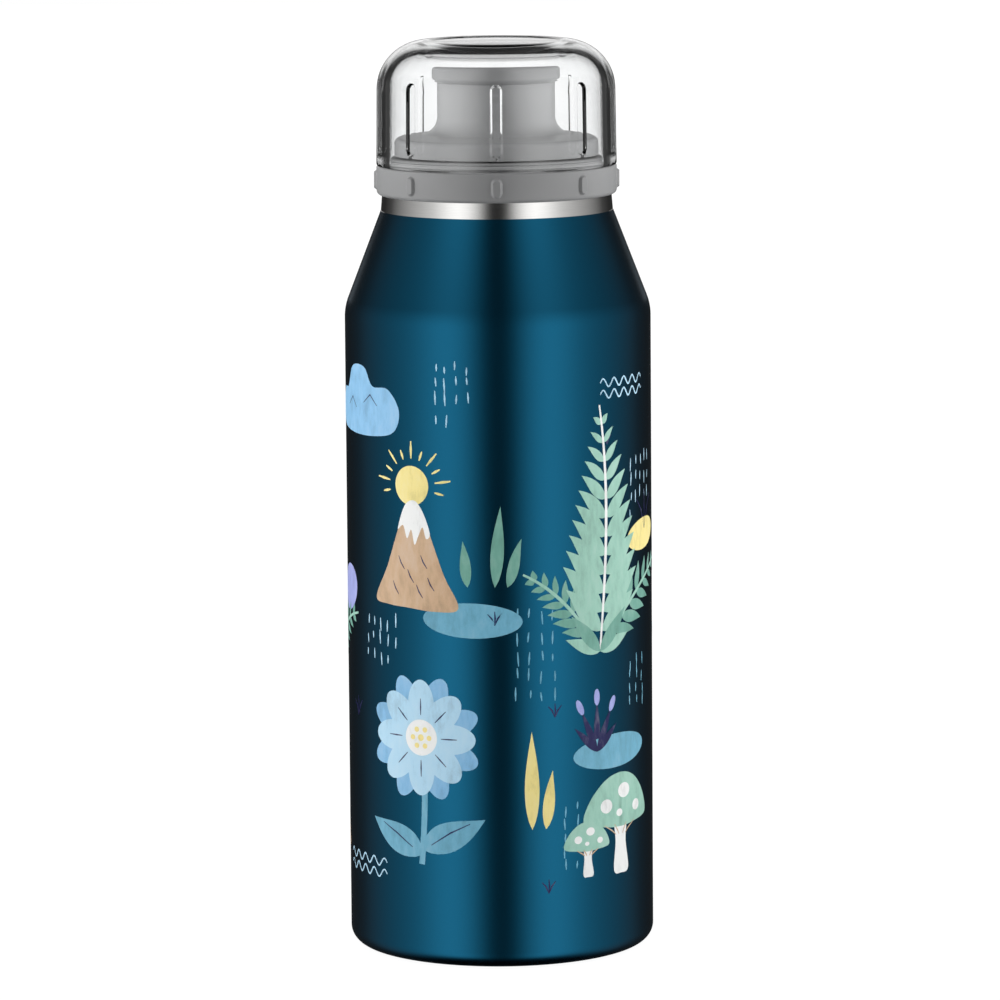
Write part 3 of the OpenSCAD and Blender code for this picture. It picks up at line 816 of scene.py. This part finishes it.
def front_print():
    """The motifs of the side that faces the camera, each by its place (u, z) on the flask."""
    return [
        hill("front", -21, 83, 0.98),
        pond("front", -6.5, 79.9, 11.6, 4.0, tilt=-1),
        grass_mark("pond", -1.2, 78.9),
        blades("green", -1.5, 87.5, "sage", [(-5.8, 10.5, 2.6, -8), (0.4, 18.5, 3.0, 5),
                                            (3.2, 11.5, 2.6, 22)]),
        fern("front", 24.5, 72, 0.9),
        flower("front", -19, 23.5, 1.12),
        cloud("left", -38.5, 124, 1.45, ink="azure"),
        blades("yellow", 8.4, 32, "yellow", [(-1.4, 22.5, 3.4, 0), (1.8, 13.5, 2.8, 9)]),
        pond("right", 29, 48.2, 12, 3.9, tilt=2),
        reeds("right", 23.5, 48.6, 0.95),
        mushroom("right", 31, 20.5, 1.08),
        pond("sand", 42, 96.5, 8, 3.6, ink="yellow", tilt=6),
        grass_mark("sand", 43, 97.5, size=9),
        pond("lilac", -47.5, 84, 6, 5.2, ink="lilac", tilt=30),
        waves("right", 33, 132.5, 16),
        waves("left", -38.5, 22.5, 18),
        dashes("top", -10.8, 131.5, 10, 15, 14),
        dashes("left", -31, 74, 12, 12.5, 14),
        dashes("middle", 8, 72, 11.5, 22, 20, ink="teal"),
        dashes("fern", 40.5, 108, 12, 15, 16),
        dashes("low", 16.4, 30, 6, 16, 10, ink="teal"),
        dashes("edge", 38, 63, 9, 12, 12, ink="teal"),
        grass_mark("a", 10.8, 17.2),
        grass_mark("b", 12.5, 57.5),
        grass_mark("c", 27, 118.5, size=2.6),
        grass_mark("d", -41.5, 55, size=4.5),
    ]


def back_print():
    """The motifs of the sides and the back, each by its place (u, z) on the flask."""
    return [
        flower("back", 66, 66, 1.0, petal="azure", shade="sky"),
        fern("back", 97, 24, 0.9),
        hill("back", 67, 28, 1.0, sun=False),
        cloud("back", 80, 123, 1.1),
        mushroom("back", -84, 24, 1.1, cap="sky"),
        hill("side", -62, 24, 0.92, sun=False),
        fern("side", -68, 62, 0.85),
        flower("side", -97, 86, 1.0, petal="yellow", shade="tan"),
        cloud("side", -97, 130, 0.9, ink="teal"),
        pond("back", 94, 88, 12, 3.8),
        reeds("back", 93, 88.5, 1.1),
        blades("back", -106, 58, "mint", [(-2, 16, 3, -7), (1.5, 20, 3.2, 4)]),
        waves("back", 62, 134, 16),
        waves("side", -85, 60, 15),
        dashes("back", 100, 108, 12, 16, 16),
        dashes("side", -72, 128, 12, 14, 16),
        dashes("back_low", 80, 56, 12, 12, 12),
        dashes("side_low", -104, 34, 10, 16, 14, ink="teal"),
        grass_mark("back", 84, 22),
        grass_mark("side", -55, 58),
    ]


# ---- Studio ----

# Brightness of the soft panels against the angle from the front in degrees, the same on both
# sides: PANELS is what gloss mirrors, SOFT_PANELS what lights matt surfaces. PANEL_HEIGHT scales
# both by the angle above the horizon.
PANELS = [(0, 0.02), (5, 0.03), (9, 0.08), (14, 0.27), (20, 0.54), (29, 0.86), (38, 1.0),
          (47, 0.92), (58, 0.7), (67, 0.53), (80, 0.4), (94, 0.3), (116, 0.15), (130, 0.05),
          (148, 0.02), (180, 0.02)]
SOFT_PANELS = [(0, 0.24), (30, 0.3), (48, 0.9), (62, 2.3), (108, 2.4), (130, 0.8), (150, 0.4),
               (180, 0.35)]
PANEL_HEIGHT = [(-90, 0.0), (-62, 0.02), (-38, 1.0), (4, 1.0), (30, 0.64), (64, 0.4), (90, 0.3)]
PANEL_STRENGTH = 1.35

# The backdrop that bent rays see, and the card behind that gloss sees, fade in over these parts
# of the direction's Y; the card's foot fades in over REAR_CARD_FOOT degrees above the horizon
BACKDROP_EDGE, BACKDROP_BOOST = (0.60, 0.70), 1.15
REAR_CARD, REAR_CARD_FOOT = (0.88, 0.96), (0, 4)

# The floor is narrow, in metres, so that rays bent by the cap don't meet it
FLOOR_HALF_WIDTH, FLOOR_HALF_LENGTH = 0.45, 4.0
FLOOR_GLOW, FLOOR_GLOW_SHARE = 1.12, 0.85

# Spots in metres, watts and degrees, aimed SPOT_AIM_UP mm above the closure's middle
SPOT_PLACE, SPOT_AIM_UP = (1.05, -0.09, 0.27), 5
SPOT_POWER, SPOT_BLEND, SPOT_SOFTNESS, SPOT_CONE = 76.0, 0.3, 0.03, 3.3

CAMERA_LENS, CAMERA_SENSOR, CAMERA_REACH = 213.46, 36.0, 50.0
CAMERA_PLACE, CAMERA_DOWN, CAMERA_SWING = (0.0002, -1.350, 0.290), 7.906, -0.44


def seen_directly(n, background_bounce=0):
    """Two flags for rays from the camera: unhindered, and only bent by clear plastic.

    The background counts itself as one more bounce than a surface does.
    """
    path = n.add("LightPath").node.outputs
    passed = n.math("ADD", path["Transmission Depth"], background_bounce)
    unreflected = n.math("COMPARE", path["Ray Depth"], passed, 0.5)
    through = n.math("MULTIPLY", path["Is Transmission Ray"], unreflected)
    return path["Is Camera Ray"], through, path["Is Diffuse Ray"]


def build_world():
    """White behind the bottle, and tall soft panels left and right with a gap in front.

    Gloss mirrors PANELS and a white card low behind, matt surfaces are lit by SOFT_PANELS. Rays
    that clear plastic bends far to the side leave the white backdrop and meet the panels, which
    darkens the cap's edges.
    """
    world = bpy.data.worlds.new("studio")
    world.use_nodes = True
    world.cycles.sampling_method = "NONE"
    bpy.context.scene.world = world
    tree = world.node_tree
    n = Nodes(tree)
    xyz = n.add("SeparateXYZ", Vector=n.add("TexCoord", out=0)).node.outputs
    turn = n.math("ABSOLUTE", n.math("ARCTAN2", xyz[0], n.math("MULTIPLY", xyz[1], -1.0)))
    azimuth = n.math("DIVIDE", turn, math.pi)
    elevation = n.math("MULTIPLY_ADD", n.math("ARCSINE", xyz[2]), 1 / math.pi, 0.5)

    def around(stops):
        return n.ramp(azimuth, [(a / 180, v) for a, v in stops])

    def upwards(stops):
        return n.ramp(elevation, [(a / 180 + 0.5, v) for a, v in stops])

    height = upwards(PANEL_HEIGHT)
    camera_ray, through, diffuse = seen_directly(n, background_bounce=1)
    low, high = BACKDROP_EDGE
    backdrop = n.ramp(n.math("ABSOLUTE", xyz[1]), [(low, 0.0), (high, BACKDROP_BOOST)])
    white = n.math("MAXIMUM", camera_ray, n.math("MULTIPLY", through, backdrop))
    light = n.add("Mix", i0=diffuse, i2=around(PANELS), i3=around(SOFT_PANELS))
    panels = n.math("MULTIPLY", n.math("MULTIPLY", light, height), PANEL_STRENGTH)
    card = n.ramp(xyz[1], [(REAR_CARD[0], 0.0), (REAR_CARD[1], 1.0)])
    card_foot = upwards(list(zip(REAR_CARD_FOOT, (0.0, 1.0))))
    panels = n.math("MAXIMUM", panels, n.math("MULTIPLY", card, card_foot))
    background = next(node for node in tree.nodes if node.type == "BACKGROUND")
    tree.links.new(n.math("MAXIMUM", white, panels), background.inputs["Strength"])
    background.inputs["Color"].default_value = (1, 1, 1, 1)


def build_closure_spots():
    """Two soft spots from the sides that only reach the closure."""
    aim = Vector((0, 0, (CAP_TOP + RING_Z) / 2 + SPOT_AIM_UP)) * MM
    x, y, z = SPOT_PLACE
    for side in (-1, 1):
        light = bpy.data.lights.new("closure_spot", "SPOT")
        light.energy, light.spot_blend = SPOT_POWER, SPOT_BLEND
        light.shadow_soft_size, light.spot_size = SPOT_SOFTNESS, math.radians(SPOT_CONE)
        spot = bpy.data.objects.new("closure_spot", light)
        spot.location = (side * x, y, z)
        spot.rotation_euler = (aim - spot.location).to_track_quat("-Z", "Y").to_euler()
        spot.visible_glossy = spot.visible_transmission = False
        bpy.context.scene.collection.objects.link(spot)


def build_floor():
    """A plain white floor that keeps the faintest shadow under the bottle."""
    mesh = bmesh.new()
    corners = [(-1, -1), (1, -1), (1, 1), (-1, 1)]
    mesh.faces.new([mesh.verts.new((u * FLOOR_HALF_WIDTH, v * FLOOR_HALF_LENGTH, 0))
                    for u, v in corners])
    floor = finish_mesh("floor", mesh)
    material = bpy.data.materials.new("white_floor")
    material.use_nodes = True
    tree = material.node_tree
    n = Nodes(tree)
    camera_ray, through, _ = seen_directly(n)
    direct = n.math("MAXIMUM", camera_ray, through)
    paper = n.noise(300, detail=2)
    matt = n.add("BsdfDiffuse", Color=n.ramp(paper, [(0.3, 0.80), (0.7, 0.83)]))
    glow = n.add("Emission", Color=(1, 1, 1, 1), Strength=FLOOR_GLOW)
    mix = n.add("MixShader", i0=n.math("MULTIPLY", direct, FLOOR_GLOW_SHARE), i1=matt, i2=glow)
    tree.links.new(mix, tree.nodes["Material Output"].inputs["Surface"])
    floor.data.materials.append(material)
    floor.visible_glossy = False


def build_camera():
    """A long lens in front of the bottle, looking slightly down on it."""
    data = bpy.data.cameras.new("camera")
    data.lens, data.sensor_width, data.clip_end = CAMERA_LENS, CAMERA_SENSOR, CAMERA_REACH
    camera = bpy.data.objects.new("camera", data)
    camera.location = CAMERA_PLACE
    camera.rotation_mode = "ZYX"
    camera.rotation_euler = (math.radians(90 - CAMERA_DOWN), 0, math.radians(CAMERA_SWING))
    bpy.context.scene.collection.objects.link(camera)
    bpy.context.scene.camera = camera


# ---- Scene ----


def dress_cad_nodes(by_slot):
    """The CAD nodes that stay get the worked-up material of their record slot."""
    slot_of = {s["node"]: s["material_slot"] for s in frame["record"]["subparts"]}
    for name, node in frame["nodes"].items():
        for slot in node.material_slots:
            slot.material = by_slot[slot_of[name]]


def build_all():
    build_camera()
    build_world()
    build_closure_spots()
    build_floor()
    bare = steel_material("bare_steel", (0.66, 0.655, 0.64), 0.2)
    neck = steel_material("neck_steel", (0.80, 0.795, 0.78), 0.09, line_mm=0.035, anisotropy=0.3)
    coat = coat_material()
    grey = plastic_material("grey_plastic", (0.19, 0.192, 0.194), 0.36)
    spout_grey = plastic_material("spout_plastic", (0.205, 0.207, 0.209), 0.32)
    dress_cad_nodes({
        "coated_steel": coat,
        "bare_steel": bare,
        "grey_plastic": grey,
        "white_plastic": plastic_material("white_plastic", (0.62, 0.62, 0.60), 0.42),
        "silicone": plastic_material("silicone", (0.26, 0.262, 0.264), 0.6, 0.12, 0.004, 0.35),
        "clear_plastic": clear_material(),
        "solder_glass": solder_material(),
        "getter": getter_material(),
        "foil": foil_material(),
    })
    build_shell(coat, neck)
    build_grip_ring(grey)
    build_spout(spout_grey)
    build_cap(bpy.data.materials["clear_cap_plastic"])
    inks = {name: ink_material(name, colour) for name, colour in INKS.items()}
    for motif in front_print() + back_print():
        motif.wrap(inks)


build_all()
bpy.context.scene.view_settings.view_transform = "Standard"
